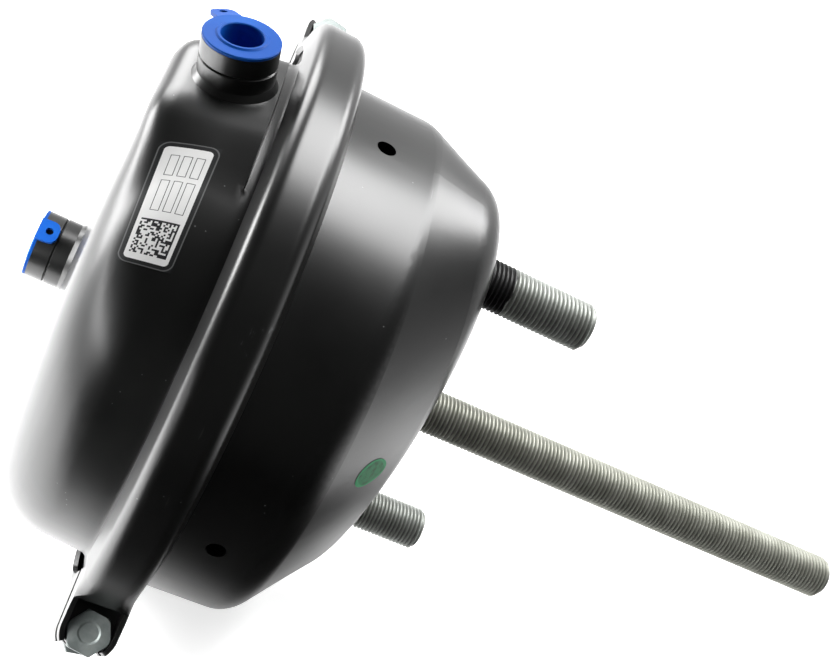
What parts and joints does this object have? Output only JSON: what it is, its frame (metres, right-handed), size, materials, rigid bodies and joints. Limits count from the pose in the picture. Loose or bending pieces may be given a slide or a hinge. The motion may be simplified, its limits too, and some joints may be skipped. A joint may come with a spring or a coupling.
{
  "type": "air brake chamber",
  "caption": "Round spring-returned air chamber with clamped halves, threaded push rod, mounting studs and plugged air ports.",
  "frame": {"origin": "centre of the mounting face, on the push rod's axis", "axes": "+X runs out of the chamber along the push rod, +Z points to the upper mounting stud and the side air port, +Y completes the right-handed frame"},
  "size_m": [0.3129, 0.213, 0.2051],
  "materials": {
    "black_paint": "satin black paint over pressed steel",
    "blue_plastic": "soft moulded polythene",
    "zinc_plate": "dull zinc plate",
    "bare_steel": "pressed steel, oiled",
    "spring_steel": "coated spring wire",
    "black_rubber": "fabric-reinforced rubber",
    "black_plastic": "moulded plastic"
  },
  "bodies": {
    "chamber": {"pressure_housing": "black_paint", "spring_housing": "black_paint", "side_port_boss": "black_paint", "rear_port_boss": "black_paint", "stud_plate": "bare_steel", "upper_mounting_stud": "zinc_plate", "lower_mounting_stud": "zinc_plate", "front_clamp_half": "black_paint", "rear_clamp_half": "black_paint", "lower_clamp_bolt": "zinc_plate", "upper_clamp_bolt": "zinc_plate", "lower_clamp_nut": "zinc_plate", "upper_clamp_nut": "zinc_plate", "diaphragm": "black_rubber", "dust_shield": "black_plastic", "return_spring": "spring_steel"},
    "rod": {"pushrod": "zinc_plate", "push_plate": "bare_steel"},
    "side_plug": {"side_port_plug": "blue_plastic"},
    "rear_plug": {"rear_port_plug": "blue_plastic"}
  },
  "joints": [
    {"name": "pushrod_slide", "type": "slide", "parent": "chamber", "child": "rod", "axis": [1, 0, 0], "range_m": [0, 0.064], "stiffness_N_per_m": 1200, "springref_m": -0.1, "deforming": ["return_spring", "diaphragm"]},
    {"name": "side_plug_pull", "type": "slide", "parent": "chamber", "child": "side_plug", "axis": [-0.2147, 0, 0.9767], "range_m": [0, 0.02]},
    {"name": "rear_plug_pull", "type": "slide", "parent": "chamber", "child": "rear_plug", "axis": [-1, 0, 0], "range_m": [0, 0.02]}
  ]
}
